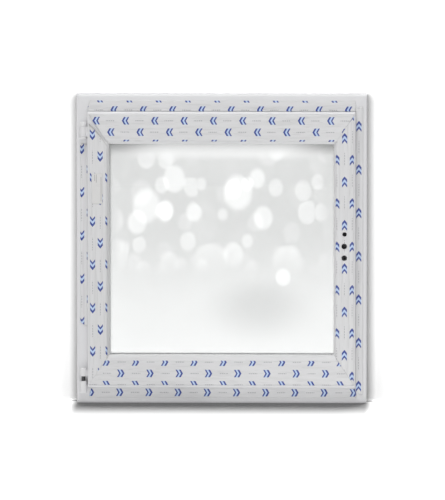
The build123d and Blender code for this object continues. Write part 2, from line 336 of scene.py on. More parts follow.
def wall_glow(tree, x, y, z):
    """Spots of light behind the panes' upper half, soft light along their top and off the window."""
    aside = calc(tree, "ABSOLUTE", x)
    spots = 0.0
    for scale, strength in SPOT_LAYERS:
        spots = calc(tree, "ADD", spots, light_spots(tree, x, z, scale, strength))
    spots = product(
        tree, spots, rescale(tree, z, 0.22, 0.31), rescale(tree, z, 0.43, 0.47, 1.0, 0.0),
        rescale(tree, aside, 0.17, 0.21, 1.0, 0.0),
    )
    along_top = product(
        tree, rescale(tree, z, 0.440, 0.472), rescale(tree, aside, 0.10, 0.22, 0.42, 0.0),
        rescale(tree, z, 0.49, 0.52, 1.0, 0.0),
    )
    single = rescale(tree, oval(tree, x, z, (0.112, 0.228), (0.017, 0.020)), 0.6, 1.0, 0.20, 0.0)
    behind_panes = calc(tree, "ADD", calc(tree, "ADD", spots, single), along_top)
    outside = calc(tree, "MAXIMUM", rescale(tree, aside, 0.285, 0.33), rescale(tree, z, 0.60, 0.70))
    return calc(tree, "MULTIPLY_ADD", outside, 0.3, behind_panes)


def wall_shade(tree, x, y, z):
    """How pale the wall is, with painted shade behind the panes' upper half and upper corners, and a grey
    patch low on the right.
    """
    aside = calc(tree, "ABSOLUTE", x)
    # Painted shade: the wall is greyer higher up behind the panes and in their upper corners.
    upper = rescale(tree, z, 0.15, 0.34)
    patch = rescale(tree, oval(tree, x, z, (0.068, 0.176), (0.125, 0.082)), 0.1, 1.0, 1.0, 0.0)
    corners = product(tree, rescale(tree, aside, 0.12, 0.21), rescale(tree, z, 0.36, 0.48))
    grey = calc(tree, "MULTIPLY_ADD", corners, 0.4, calc(tree, "MAXIMUM", upper, patch))
    grey = product(
        tree, grey, rescale(tree, aside, 0.215, 0.255, 1.0, 0.0), rescale(tree, z, 0.49, 0.54, 1.0, 0.0)
    )
    return calc(tree, "MULTIPLY_ADD", grey, -0.079, WALL_WHITE)


# %% Floor and wall


def seen_rays(tree):
    """1 for camera, mirrored and transmitted rays, and all that is known of a ray's path."""
    path = add_node(tree, "ShaderNodeLightPath").outputs
    seen = calc(tree, "MAXIMUM", path["Is Camera Ray"], path["Is Glossy Ray"])
    return calc(tree, "MAXIMUM", seen, path["Is Transmission Ray"]), path


def stage_finish(name, shade_at, glow_at, bounce_at):
    """Pale and lit, with a glow for what sees it directly and an even bounce for the rest."""
    material = bpy.data.materials.new(name)
    material.use_nodes = True
    tree = material.node_tree
    tree.nodes.clear()
    seen, path = seen_rays(tree)
    bounced = path["Is Diffuse Ray"]
    place = wired(tree, "ShaderNodeSeparateXYZ", {0: own_place(tree)}).node.outputs
    shade = calc(tree, "MULTIPLY", shade_at(tree, *place), calc(tree, "SUBTRACT", 1.0, bounced))
    grey = wired(tree, "ShaderNodeCombineColor", {0: shade, 1: shade, 2: shade})
    lit = wired(tree, "ShaderNodeBsdfDiffuse", {"Color": grey})
    glow = calc(tree, "MULTIPLY", seen, glow_at(tree, *place))
    glow = calc(tree, "MULTIPLY_ADD", bounced, bounce_at(tree, *place), glow)
    glowing = wired(tree, "ShaderNodeEmission", {"Strength": glow})
    both = wired(tree, "ShaderNodeAddShader", {0: lit, 1: glowing})
    behind = add_node(tree, "ShaderNodeNewGeometry").outputs["Backfacing"]
    let_through = calc(tree, "MAXIMUM", behind, path["Is Shadow Ray"])
    clear = add_node(tree, "ShaderNodeBsdfTransparent").outputs[0]
    one_sided = wired(tree, "ShaderNodeMixShader", {0: let_through, 1: both, 2: clear})
    feed(tree, add_node(tree, "ShaderNodeOutputMaterial").inputs["Surface"], one_sided)
    return material


def stage_sheet(name, corners, material):
    """One large flat face of the studio."""
    mesh = bpy.data.meshes.new(name)
    mesh.from_pydata(corners, [], [(0, 1, 2, 3)])
    mesh.materials.append(material)
    return add_object(name, mesh)


ROOM = 6.0
WALL_PLACE = 0.046
floor = stage_sheet(
    "floor", [(-ROOM, -ROOM, 0), (ROOM, -ROOM, 0), (ROOM, ROOM, 0), (-ROOM, ROOM, 0)],
    stage_finish("floor_pale", floor_shade, floor_glow, floor_bounce),
)
WALL_HALF = 0.75
WALL_TOP = 1.1
wall = stage_sheet(
    "wall",
    [(-WALL_HALF, WALL_PLACE, 0), (WALL_HALF, WALL_PLACE, 0),
     (WALL_HALF, WALL_PLACE, WALL_TOP), (-WALL_HALF, WALL_PLACE, WALL_TOP)],
    stage_finish("wall_pale", wall_shade, wall_glow, wall_bounce),
)
print("floor faces", floor.data.polygons[0].normal[:], "wall faces", wall.data.polygons[0].normal[:])

# %% [markdown]
# ## Light
# The light is almost even. A main lamp high in front and a little to the left gives it a direction,
# a small one overhead lights the upper edges, a broad weak one in front fills the hollows, and one
# behind is for looking at the weather side. Floor and wall have a lamp each: one overhead, just
# behind the window, draws its shadow forward on the floor, and one in front draws a narrow soft
# shadow round it on the wall. Light linking keeps these lamps apart.

# %% Lamps and surroundings


def soft_lamp(name, place, target, size, power):
    """A square area lamp that the camera doesn't see."""
    data = bpy.data.lights.new(name, "AREA")
    data.size = size
    data.energy = power
    lamp = add_object(name, data)
    lamp.location = place
    lamp.rotation_euler = (Vector(place) - Vector(target)).to_track_quat("Z", "Y").to_euler()
    lamp.visible_camera = False
    lamp.visible_transmission = False
    return lamp


def link_light(lamp, state, *sheets):
    """Lets a lamp light only these objects (INCLUDE), or all but these (EXCLUDE)."""
    linked = bpy.data.collections.new(lamp.name + "_linked")
    for sheet in sheets:
        linked.objects.link(sheet)
    for entry in linked.collection_objects:
        entry.light_linking.link_state = state
    lamp.light_linking.receiver_collection = linked


MIDDLE = (0, 0, 0.285)
window_lamps = [
    soft_lamp("main_lamp", (-0.40, -1.60, 3.90), MIDDLE, 1.5, 62),
    soft_lamp("top_lamp", (-0.10, -0.35, 2.30), MIDDLE, 0.8, 4),
    soft_lamp("front_lamp", (0.35, -3.40, 0.50), MIDDLE, 1.6, 6),
    soft_lamp("rear_lamp", (0.60, 2.50, 1.20), MIDDLE, 1.2, 42),
]
for lamp in window_lamps:
    link_light(lamp, "EXCLUDE", floor, wall)
    lamp.visible_glossy = lamp.name in ("main_lamp", "top_lamp")
floor_lamp = soft_lamp("floor_lamp", (0.05, 0.50, 2.36), MIDDLE, 0.9, 172)
link_light(floor_lamp, "INCLUDE", floor)
wall_lamp = soft_lamp("wall_lamp", (0.015, -2.4, 0.91), MIDDLE, 0.60, 157)
link_light(wall_lamp, "INCLUDE", wall)
wall_lamp.visible_glossy = False

AMBIENT = 0.35
surroundings = bpy.data.worlds.new("surroundings")
bpy.context.scene.world = surroundings
surroundings.use_nodes = True
sky = surroundings.node_tree
background = sky.nodes["Background"].inputs
background["Color"].default_value = (1, 1, 1, 1)
sky_seen = seen_rays(sky)[0]
feed(sky, background["Strength"], calc(sky, "MULTIPLY_ADD", sky_seen, 1 - AMBIENT, AMBIENT))
print("lamps:", [lamp.name for lamp in (*window_lamps, floor_lamp, wall_lamp)])

# %% [markdown]
# ## Two effects that several finishes share
# Extruded plastic keeps fine lines from the die, all running along the bar. One group turns a
# position, with its first part along the bar, into those lines and a slow cloudiness. The other
# gives the uneven grey of handling: soft smudges with a few specks.

# %% Shader groups


def shader_group(name, inputs, outputs):
    """An empty shader node group with named sockets, and its two end nodes."""
    tree = bpy.data.node_groups.new(name, "ShaderNodeTree")
    for label, value in inputs.items():
        kind = "NodeSocketVector" if value is None else "NodeSocketFloat"
        socket = tree.interface.new_socket(label, in_out="INPUT", socket_type=kind)
        if value is not None:
            socket.default_value = value
    for label in outputs:
        tree.interface.new_socket(label, in_out="OUTPUT", socket_type="NodeSocketFloat")
    given = add_node(tree, "NodeGroupInput").outputs
    result = add_node(tree, "NodeGroupOutput").inputs
    return tree, given, result


die_lines, given, result = shader_group("die_lines", {"Position": None}, ["Lines", "Cloud"])
DIE_LAYERS = (("Lines", (1.5, 480, 480), 3.0, 0.6), ("Cloud", (5, 22, 22), 2.0, 0.5))
for label, stretch, detail, rough in DIE_LAYERS:
    drawn_out = stretched(die_lines, given["Position"], stretch)
    feed(die_lines, result[label], noise(die_lines, drawn_out, 1.0, detail, rough))

handling, given, result = shader_group(
    "handling", {"Position": None, "Scale": 12.0, "Cover": 0.4}, ["Smudge"]
)
scaled = wired(
    handling, "ShaderNodeVectorMath", {0: given["Position"], "Scale": given["Scale"]}, operation="SCALE"
)
soft = noise(handling, scaled, 1.0, 4.0, 0.65)
edge = calc(handling, "MULTIPLY", calc(handling, "SUBTRACT", 1.0, given["Cover"]), 0.8)
patch = calc(handling, "MULTIPLY", calc(handling, "SUBTRACT", soft, edge), 3.0)
specks = rescale(handling, noise(handling, scaled, 19.0, 1.0), 0.72, 0.80, 0.0, 0.6)
feed(handling, result["Smudge"], calc(handling, "MAXIMUM", rescale(handling, patch, 0.0, 1.0), specks))
print("groups:", die_lines.name, handling.name)


def use_group(tree, group, **values):
    """Places a shader group in a material and feeds its inputs."""
    node = add_node(tree, "ShaderNodeGroup", node_tree=group)
    for name, value in values.items():
        feed(tree, node.inputs[name], value)
    return node.outputs


# %% [markdown]
# ## White PVC
# The profiles are satin white, a touch cool. The lines of the die follow each bar, so the uprights
# get the same finish with its pattern turned by a quarter. A rail and a stile therefore need two
# materials that differ in one Mapping node only.

# %% PVC finishes
UPRIGHT_TURN = (0, math.radians(90), 0)


def pvc_finish(name, colour, turn):
    """Satin extruded PVC with lines along the bar and faint smudges."""
    material, tree, shader = new_finish(name, colour, 0.34)
    place = own_place(tree)
    turned = wired(tree, "ShaderNodeMapping", {"Vector": place, "Rotation": turn})
    lines = use_group(tree, die_lines, Position=turned)
    smudge = use_group(tree, handling, Position=place, Scale=16.0, Cover=0.34)["Smudge"]
    clouded = blend(tree, calc(tree, "MULTIPLY", lines["Cloud"], 0.5), colour, darker(colour, 0.93))
    soiled = blend(tree, calc(tree, "MULTIPLY", smudge, 0.35), clouded, darker(colour, 0.86))
    feed(tree, shader.inputs["Base Color"], soiled)
    gloss = calc(tree, "MULTIPLY_ADD", lines["Lines"], 0.14, 0.26)
    feed(tree, shader.inputs["Roughness"], calc(tree, "MULTIPLY_ADD", smudge, 0.15, gloss))
    bump(tree, shader, lines["Lines"], 0.12, 0.0002)
    return material


PVC_WHITE = (0.80, 0.80, 0.815)
pvc_rail = pvc_finish("pvc_crosspiece", PVC_WHITE, (0, 0, 0))
pvc_stile = pvc_finish("pvc_upright", PVC_WHITE, UPRIGHT_TURN)
paint(pvc_rail, "frame_head", "frame_sill", "sash_top_rail", "sash_bottom_rail")
paint(pvc_stile, "frame_left_jamb", "frame_right_jamb", "sash_left_stile", "sash_right_stile")
BEAD_WHITE = (0.83, 0.83, 0.84)
paint(pvc_finish("bead_crosspiece", BEAD_WHITE, (0, 0, 0)), "bead_top", "bead_bottom")
paint(pvc_finish("bead_upright", BEAD_WHITE, UPRIGHT_TURN), "bead_left", "bead_right")

# %% [markdown]
# ## Glass
# Clear float glass with its faint green. Shadow rays go straight through, because lamps are hard
# to find through a refracting surface and the room behind would otherwise turn dark; only as much
# is held back as the glass would mirror at that slant, which Fresnel tells. A few wiped smudges
# make its tint uneven.

# %% Glass
GLASS_INDEX = 1.5
glass, tree, shader = new_finish("float_glass", (0.985, 0.991, 0.988), 0.0)
shader.inputs["Transmission Weight"].default_value = 1.0
shader.inputs["IOR"].default_value = GLASS_INDEX
wiped = use_group(tree, handling, Position=own_place(tree), Scale=7.0, Cover=0.3)
tint = blend(tree, wiped["Smudge"], (0.987, 0.993, 0.990), (0.976, 0.984, 0.980))
feed(tree, shader.inputs["Base Color"], tint)
mirrored = wired(tree, "ShaderNodeFresnel", {"IOR": GLASS_INDEX})
shadow_ray = add_node(tree, "ShaderNodeLightPath").outputs["Is Shadow Ray"]
let_through = calc(tree, "MULTIPLY", shadow_ray, calc(tree, "SUBTRACT", 1.0, mirrored))
passing = add_node(tree, "ShaderNodeBsdfTransparent").outputs[0]
either = wired(tree, "ShaderNodeMixShader", {0: let_through, 1: shader.outputs[0], 2: passing})
feed(tree, tree.nodes["Material Output"].inputs["Surface"], either)
paint(glass, "inner_pane", "outer_pane")

# %% [markdown]
# ## Inside the glazing, and the seals
# Between the panes runs a bare aluminium spacer, brushed along its length by the rollers that fold
# it, and black sealant closes the unit's edge. The seals are grey soft plastic, paler at the glass
# than between frame and sash, dull and slightly mottled by dust that clings to them.

# %% Spacer, sealant and seals


def dull_finish(name, colour, dusty, roughness, grain):
    """A soft dull plastic or sealant with clinging dust."""
    material, tree, shader = new_finish(name, colour, roughness)
    place = own_place(tree)
    dust = use_group(tree, handling, Position=place, Scale=40.0, Cover=0.42)["Smudge"]
    feed(tree, shader.inputs["Base Color"], blend(tree, dust, colour, dusty))
    feed(tree, shader.inputs["Roughness"], calc(tree, "MULTIPLY_ADD", dust, 0.2, roughness))
    bump(tree, shader, noise(tree, place, grain), 0.15, 0.0003)
    return material


paint(dull_finish("edge_sealant", (0.02, 0.02, 0.022), (0.05, 0.05, 0.052), 0.55, 300), "edge_seal")
paint(dull_finish("grey_seal", (0.68,) * 3, (0.60,) * 3, 0.55, 900), "sash_seal", "frame_seal")
paint(
    dull_finish("pale_seal", (0.80,) * 3, (0.72,) * 3, 0.55, 900),
    "glazing_seal_inner", "glazing_seal_outer",
)


def metal_finish(name, colour, streak, roughness, stretch):
    """Bare metal with drawn lines and uneven gloss."""
    material, tree, shader = new_finish(name, colour, roughness)
    shader.inputs["Metallic"].default_value = 1.0
    place = own_place(tree)
    drawn = noise(tree, stretched(tree, place, stretch), 1.0, 3.0, 0.6)
    feed(tree, shader.inputs["Base Color"], blend(tree, drawn, colour, streak))
    smudge = use_group(tree, handling, Position=place, Scale=60.0, Cover=0.4)["Smudge"]
    rough = calc(tree, "MULTIPLY_ADD", drawn, 0.15, roughness)
    feed(tree, shader.inputs["Roughness"], calc(tree, "MULTIPLY_ADD", smudge, 0.15, rough))
    bump(tree, shader, drawn, 0.1, 0.0002)
    return material


paint(
    metal_finish("spacer_aluminium", (0.88, 0.885, 0.89), (0.78, 0.785, 0.79), 0.42, (60, 900, 60)),
    "spacer_bar",
)

# %% [markdown]
# ## Hinges, lock and drain caps
# The hinges are cast metal under a white powder coat, whose skin is never quite flat. Pins and lock
# case are dark zinc-coated steel with turning marks. The drain caps on the weather side are moulded
# plastic, a little brighter and smoother than the extruded bars.

# %% Hardware finishes


def coat_finish(name, colour, grain, relief, roughness):
    """A coated or moulded skin with a fine uneven relief and a few smudges."""
    material, tree, shader = new_finish(name, colour, roughness)
    place = own_place(tree)
    smudge = use_group(tree, handling, Position=place, Scale=45.0, Cover=0.36)["Smudge"]
    soiled = blend(tree, calc(tree, "MULTIPLY", smudge, 0.5), colour, darker(colour, 0.8))
    feed(tree, shader.inputs["Base Color"], soiled)
    feed(tree, shader.inputs["Roughness"], calc(tree, "MULTIPLY_ADD", smudge, 0.2, roughness))
    bump(tree, shader, noise(tree, place, grain, 1.0), relief, 0.0004)
    return material


paint(
    coat_finish("hinge_powder_coat", (0.79, 0.79, 0.80), 1100, 0.10, 0.32),
    "upper_hinge_bearing", "upper_hinge_arm", "lower_hinge_bearing", "lower_hinge_arm",
)
paint(
    coat_finish("moulded_cap", (0.82, 0.82, 0.83), 500, 0.05, 0.28),
    "drain_cap_left", "drain_cap_right", "upper_hinge_cap", "lower_hinge_cap",
)
paint(
    metal_finish("dark_steel", (0.05, 0.05, 0.055), (0.10, 0.10, 0.103), 0.35, (40, 40, 1400)),
    "upper_hinge_pin", "lower_hinge_pin", "lock_case",
)

# %% [markdown]
# ## Protective film: the print
# The film is milky, thin and glossy, with small blue direction marks and broken grey lines between
# them, printed on the roll in staggered rows. A print like this follows the strip, not the window,
# so it reads the strip's own UV map, which is laid out in tenths of a metre. The marks are pure
# arithmetic: a row number, a place within the row, and bands of a bent coordinate. COMPARE gives 1
# where a value is within a distance of a middle.

# %% Print group
film_print, given, result = shader_group(
    "film_print", {"Place": None, "Pitch": 80.0, "Row": 21.0, "Mark": 7.0}, ["Ink", "Tint", "Dash"]
)
sums = partial(calc, film_print)
parts = wired(film_print, "ShaderNodeSeparateXYZ", {0: given["Place"]}).node.outputs
along = sums("MULTIPLY", parts["X"], 100.0)
across = sums("MULTIPLY", parts["Y"], 100.0)
row = sums("FLOOR", sums("DIVIDE", across, given["Row"]))
row_middle = sums("MULTIPLY", sums("ADD", row, 0.5), given["Row"])
beside = sums("ABSOLUTE", sums("SUBTRACT", across, row_middle))
half_pitch = sums("MULTIPLY", given["Pitch"], 0.5)
stagger = sums("MULTIPLY", sums("FLOORED_MODULO", row, 2.0), half_pitch)
onward = sums("FLOORED_MODULO", sums("ADD", along, stagger), given["Pitch"])
onward = sums("SUBTRACT", onward, half_pitch)
bent = sums("MULTIPLY_ADD", beside, 0.85, onward)

mark_high = sums("LESS_THAN", beside, given["Mark"])
strokes = sums("MAXIMUM", sums("COMPARE", bent, 6.2, 2.6), sums("COMPARE", bent, -3.6, 2.1))
feed(film_print, result["Ink"], sums("MULTIPLY", strokes, mark_high))
feed(film_print, result["Tint"], sums("MULTIPLY", sums("COMPARE", bent, 1.1, 2.6), mark_high))
from_middle = sums("SUBTRACT", half_pitch, sums("ABSOLUTE", onward))
dash_long = sums("LESS_THAN", from_middle, 12.0)
dash_high = sums("LESS_THAN", beside, 0.9)
broken = sums("LESS_THAN", sums("FLOORED_MODULO", along, 5.0), 3.4)
feed(film_print, result["Dash"], product(film_print, dash_long, dash_high, broken))
print("film print: pitch 80, row 21 and mark 14 millimetres")

# %% Film finish
film, tree, shader = new_finish("protective_film", (0.76, 0.762, 0.775), 0.3)
strip_place = add_node(tree, "ShaderNodeUVMap", uv_map="film_uv").outputs[0]
printed = use_group(tree, film_print, Place=strip_place)


def film_noise(stretch, detail=2.0):
    """Noise on the film, drawn out along the strip or across it."""
    return noise(tree, stretched(tree, strip_place, stretch), 1.0, detail)


# Streaks along the film are partly uneven film tone and partly painted shade of its loose wrinkles. They
# also vary its gloss and relief.
streaks = film_noise((0.9, 11, 1))
streak_tone_and_shade = rescale(tree, streaks, 0.28, 0.74)
layered = blend(tree, streak_tone_and_shade, (0.715, 0.715, 0.722), (0.775, 0.776, 0.786))
# Painted shade: a few thin darker lines along the film, where it creases.
crease_shade = rescale(tree, film_noise((2.4, 36, 1), 1.0), 0.64, 0.74, 0.0, 0.30)
layered = blend(tree, crease_shade, layered, (0.50, 0.495, 0.49))
# Painted shade: the film is darker where an end stands off the sash, as under a lifted edge.
lift_shade = add_node(tree, "ShaderNodeAttribute", attribute_name="film_lift_shade").outputs["Fac"]
layered = blend(tree, rescale(tree, lift_shade, 0.05, 1.0, 0.0, 0.8), layered, (0.36, 0.355, 0.34))
worn = rescale(tree, film_noise((30, 30, 1)), 0.28, 0.40)
for label, worn_part, even_part, colour in (
    ("Dash", 0.75, 0.0, (0.34, 0.34, 0.36)),
    ("Tint", 0.0, 0.85, (0.52, 0.68, 0.95)),
    ("Ink", 0.25, 0.75, (0.030, 0.060, 0.30)),
):
    cover = calc(tree, "MULTIPLY", printed[label], calc(tree, "MULTIPLY_ADD", worn, worn_part, even_part))
    layered = blend(tree, cover, layered, colour)
feed(tree, shader.inputs["Base Color"], layered)
feed(tree, shader.inputs["Roughness"], rescale(tree, streaks, 0.2, 0.8, 0.22, 0.42))
bump(tree, shader, streaks, 0.25, 0.0008)

# %% [markdown]
# ## Protective film: the strips
# Eight strips lie on the room faces, one on each side of the sash and of the frame. They follow one
# rule: a long sheet with two slanting ends, loose ripples along it, edges that stand off a little
# and ends that may have let go. That is a job for one geometry tree with named sizes. It bends a
# grid into the strip, stores the UV map for the print, and leaves the thickness to Solidify.

# %% Tree helpers


def tree_inputs(tree, sizes):
    """Gives a geometry tree an input for each size and one output; returns the inputs' identifiers."""
    identifiers = {}
    for label, value in sizes.items():
        kind = "NodeSocketInt" if isinstance(value, int) else "NodeSocketFloat"
        socket = tree.interface.new_socket(label, in_out="INPUT", socket_type=kind)
        socket.default_value = value
        identifiers[label] = socket.identifier
    tree.interface.new_socket("Mesh", in_out="OUTPUT", socket_type="NodeSocketGeometry")
    return identifiers


def end_tree(tree, mesh, material):
    """Makes a tree's instances real, gives them a finish and hands them out."""
    real = wired(tree, "GeometryNodeRealizeInstances", {"Geometry": mesh})
    coloured = wired(tree, "GeometryNodeSetMaterial", {"Geometry": real, "Material": material})
    feed(tree, add_node(tree, "NodeGroupOutput").inputs[0], coloured)


# %% Film strip tree
film_strip = bpy.data.node_groups.new("film_strip", "GeometryNodeTree")
strip_inputs = tree_inputs(film_strip, {
    "Width": 0.044,
    "Start outer": -0.2, "Start inner": -0.17, "Start bow": 0.0, "Start lift": 0.0,
    "End outer": 0.2, "End inner": 0.17, "End bow": 0.0, "End lift": 0.0,
    "Lift length": 0.02, "Clearance": 0.0003, "Tuck width": 0.0045, "Tuck drop": 0.0,
    "Ripple": 0.0004, "Edge lift": 0.0004,
    "Print along": 10.0, "Print across": 10.0, "Print shift": 0.0, "Print rise": 0.0,
    "Columns": 200, "Rows": 23, "Seed": 1.0,
})
given = add_node(film_strip, "NodeGroupInput").outputs
shape = partial(calc, film_strip)


def point_parts():
    """A point's place along and across, as it is at that step of the tree."""
    place = add_node(film_strip, "GeometryNodeInputPosition").outputs[0]
    return wired(film_strip, "ShaderNodeSeparateXYZ", {0: place}).node.outputs


grid = wired(film_strip, "GeometryNodeMeshGrid", {0: 1.0, 1: 1.0, 2: given["Columns"], 3: given["Rows"]})
spot = point_parts()
part_along = shape("ADD", spot["X"], 0.5)
part_across = shape("ADD", spot["Y"], 0.5)
belly = shape("MULTIPLY", part_across, shape("SUBTRACT", 1.0, part_across))
belly = shape("MULTIPLY", belly, 4.0)


def strip_end(name):
    """The place along of one end, slanting from the outer to the inner edge and bowed."""
    slant = shape("SUBTRACT", given[name + " inner"], given[name + " outer"])
    straight = shape("MULTIPLY_ADD", slant, part_across, given[name + " outer"])
    return shape("MULTIPLY_ADD", belly, given[name + " bow"], straight)


start, end = strip_end("Start"), strip_end("End")
along = shape("MULTIPLY_ADD", shape("SUBTRACT", end, start), part_along, start)
across = shape("MULTIPLY", given["Width"], part_across)


def end_lift(name, distance):
    """How far an end stands off: a smooth rise over the lift length, most at the outer edge."""
    close = shape("SUBTRACT", 1.0, shape("DIVIDE", distance, given["Lift length"]))
    close = shape("POWER", shape("MAXIMUM", close, 0.0), 2.0)
    outer = shape("MULTIPLY_ADD", part_across, -0.7, 1.0)
    return product(film_strip, close, outer, given[name + " lift"])


def strip_noise(across_scale, along_scale, layer):
    """Noise on the strip, drawn out along it, different for each seed and layer."""
    place = wired(film_strip, "ShaderNodeCombineXYZ", {
        0: shape("MULTIPLY", along, along_scale),
        1: shape("MULTIPLY", across, across_scale),
        2: shape("MULTIPLY_ADD", given["Seed"], 7.3, layer),
    })
    return noise(film_strip, place, 1.0)


ripples = shape("MULTIPLY", strip_noise(75.0, 7.0, 0.0), given["Ripple"])
border = shape("POWER", shape("ABSOLUTE", shape("MULTIPLY", spot["Y"], 2.0)), 8.0)
loose = shape("MULTIPLY", strip_noise(0.0, 22.0, 3.0), given["Edge lift"])
height = shape("MULTIPLY_ADD", border, loose, shape("ADD", given["Clearance"], ripples))
let_go = end_lift("Start", shape("SUBTRACT", along, start))
let_go = shape("ADD", let_go, end_lift("End", shape("SUBTRACT", end, along)))
height = shape("ADD", height, let_go)
tuck_start = shape("SUBTRACT", given["Width"], given["Tuck width"])
tucked = shape("DIVIDE", shape("SUBTRACT", across, tuck_start), given["Tuck width"])
tucked = shape("MAXIMUM", tucked, 0.0)
height = shape("SUBTRACT", height, shape("MULTIPLY", tucked, given["Tuck drop"]))
ragged = shape("SUBTRACT", strip_noise(0.0, 45.0, 9.0), 0.5)
across = shape("MULTIPLY_ADD", shape("MULTIPLY", border, ragged), 0.0012, across)

laid = wired(film_strip, "ShaderNodeCombineXYZ", {0: along, 1: across, 2: height})
# How far an end stands off is stored for the film's painted shade under it.
lift_shade_grid = wired(film_strip, "GeometryNodeStoreNamedAttribute", {
    "Geometry": grid, "Name": "film_lift_shade", "Value": shape("MULTIPLY", let_go, 400.0),
}, data_type="FLOAT", domain="POINT")
bent_grid = wired(film_strip, "GeometryNodeSetPosition", {"Geometry": lift_shade_grid, "Position": laid})
flat = point_parts()
on_print = wired(film_strip, "ShaderNodeCombineXYZ", {
    0: shape("MULTIPLY_ADD", flat["X"], given["Print along"], given["Print shift"]),
    1: shape("MULTIPLY_ADD", flat["Y"], given["Print across"], given["Print rise"]),
})
stored = wired(film_strip, "GeometryNodeStoreNamedAttribute", {
    "Geometry": bent_grid, "Name": "film_uv", "Value": on_print,
}, data_type="FLOAT2", domain="CORNER")
end_tree(film_strip, wired(film_strip, "GeometryNodeSetShadeSmooth", {"Geometry": stored}), film)
print("film strip tree:", len(film_strip.nodes), "nodes,", len(strip_inputs), "sizes")

# %% [markdown]
# ### Cutting the strips
# A strip on the sash runs from its round lip onto the bead, and its ends follow the corner's
# diagonal. Three of them tuck down over the first slope of the bead's nose; the lower one ends where
# the slope begins. A strip on the frame lies between a bare outer edge and the sash, and on three
# sides its inner edge rises against the sash's lip. On the left jamb it covers only the stretch
# between the hinges. The strips stay apart in height by tenths of a millimetre, so that one can lap
# over another at a corner.

# %% Lay the strips
FILM_THICKNESS = 0.00012
FILM_CELL = (0.0022, 0.0018)
film_pieces = {}


def made_mesh(name, tree, values):
    """Runs a geometry tree with these sizes and returns the result as a plain mesh."""
    holder = add_object(name, bpy.data.meshes.new(name + "_start"))
    modifier = holder.modifiers.new("shape", "NODES")
    modifier.node_group = tree
    for identifier, value in values.items():
        modifier[identifier] = value
    shown = holder.evaluated_get(bpy.context.evaluated_depsgraph_get())
    mesh = bpy.data.meshes.new_from_object(shown)
    bpy.data.objects.remove(holder)
    return mesh


def strip_sizes(side, outer, inner, seed, **changes):
    """A strip's sizes: its ends follow the corners' diagonals unless changed."""
    share = share_of(side)
    sizes = {
        "Width": (inner - outer) * share,
        "Start outer": -reach(side, outer),
        "Start inner": -reach(side, inner),
        "End outer": reach(side, outer),
        "End inner": reach(side, inner),
        "Print along": 10.0 if share < 1 else 10.0 / UPRIGHT_SHARE,
        "Print across": 10.0 / share,
        "Columns": int(2 * reach(side, outer) / FILM_CELL[0]),
        "Rows": int((inner - outer) * share / FILM_CELL[1]) + 2,
        "Seed": seed,
    }
    for label, value in changes.items():
        sizes[label.replace("_", " ")] = value
    return sizes


def lay_strip(name, side, outer, face, sizes):
    """Makes a strip of film and puts it on its face."""
    mesh = made_mesh(name, film_strip, {strip_inputs[label]: value for label, value in sizes.items()})
    mesh.transform(side_place(side, outer, face))
    film_pieces[name] = add_object(name, mesh)
    print(name, len(mesh.polygons), "faces")


LIP_FLAT = SASH_EDGE + 0.0048
NOSE_TUCK = 0.0045
NOSE_DROP = 0.00157
CORNER_GAP = 0.0005
CORNER_LAP = 0.0012
SASH_PRINT_STEP = 1.37
BESIDE_HANDLE_HOLES = 0.445
SASH_STRIPS = (("top", 1.0, 0.62), ("bottom", 2.0, 0.1), ("left", 3.0, 0.43), ("right", 4.0, 0.9))
for side, seed, rise in SASH_STRIPS:
    tuck = 0.0 if side == "bottom" else NOSE_TUCK
    sizes = strip_sizes(side, LIP_FLAT, BEAD_SLOPE + tuck, seed)
    if tuck:
        sizes["Tuck width"] = tuck * share_of(side)
        sizes["Tuck drop"] = NOSE_DROP
    sizes["Print shift"] = SASH_PRINT_STEP * seed
    sizes["Print rise"] = rise
    laps_over = side in ("top", "bottom")
    sizes["Clearance"] = 0.0006 if laps_over else 0.0002
    for label in ("Start outer", "Start inner"):
        sizes[label] -= CORNER_LAP if laps_over else -CORNER_GAP
    for label in ("End outer", "End inner"):
        sizes[label] += CORNER_LAP if laps_over else -CORNER_GAP
    if side == "left":
        sizes["Start outer"] += 0.016
        sizes["Start inner"] += 0.007
        sizes["Start bow"] = -0.0025
        sizes["Start lift"] = 0.0040
        sizes["Lift length"] = 0.010
    if side == "top":
        sizes["End lift"] = 0.0012
    if side == "right":
        sizes["Print shift"] += BESIDE_HANDLE_HOLES
    lay_strip("sash_film_" + side, side, LIP_FLAT, SASH_FACE, sizes)

FRAME_BARE = 0.0105
FRAME_FILM_END = SASH_EDGE - 0.0004
FRAME_PRINT_STEP = 0.93
SILL_LAP = 0.0019
CORNER_RISE = (0.003, 0.0015)
FRAME_STRIPS = (
    ("top", 5.0, 0.35, -0.246, -0.245, 0.242, 0.246, 0.0003),
    ("bottom", 6.0, 0.85, -0.244, -0.238, 0.248, 0.243, 0.0003),
    ("right", 7.0, 0.2, -0.268, -0.262, 0.264, 0.258, 0.0007),
    ("left", 8.0, 0.7, -0.194, -0.192, 0.134, 0.141, 0.0003),
)
for side, seed, rise, start_outer, start_inner, end_outer, end_inner, clearance in FRAME_STRIPS:
    sizes = strip_sizes(
        side, FRAME_BARE, FRAME_FILM_END, seed,
        Start_outer=start_outer, Start_inner=start_inner, End_outer=end_outer, End_inner=end_inner,
        Clearance=clearance, Start_bow=-0.002, End_bow=0.002, End_lift=0.0008,
        Print_shift=FRAME_PRINT_STEP * seed, Print_rise=rise,
    )
    if side == "bottom":
        sizes["Width"] += SILL_LAP
    else:
        sizes["Tuck width"] = CORNER_RISE[0] * share_of(side)
        sizes["Tuck drop"] = -CORNER_RISE[1]
    lay_strip("frame_film_" + side, side, FRAME_BARE, FRAME_FACE, sizes)

# %% [markdown]
# ### Handle holes in the film
# The stile was drilled before the film went on, and someone has cut the film open there, cleanly at
# two holes, and too small and off the middle at the upper one. Faces inside a hole's circle go, and
# the points left on its rim are drawn onto the circle and stand off a little.

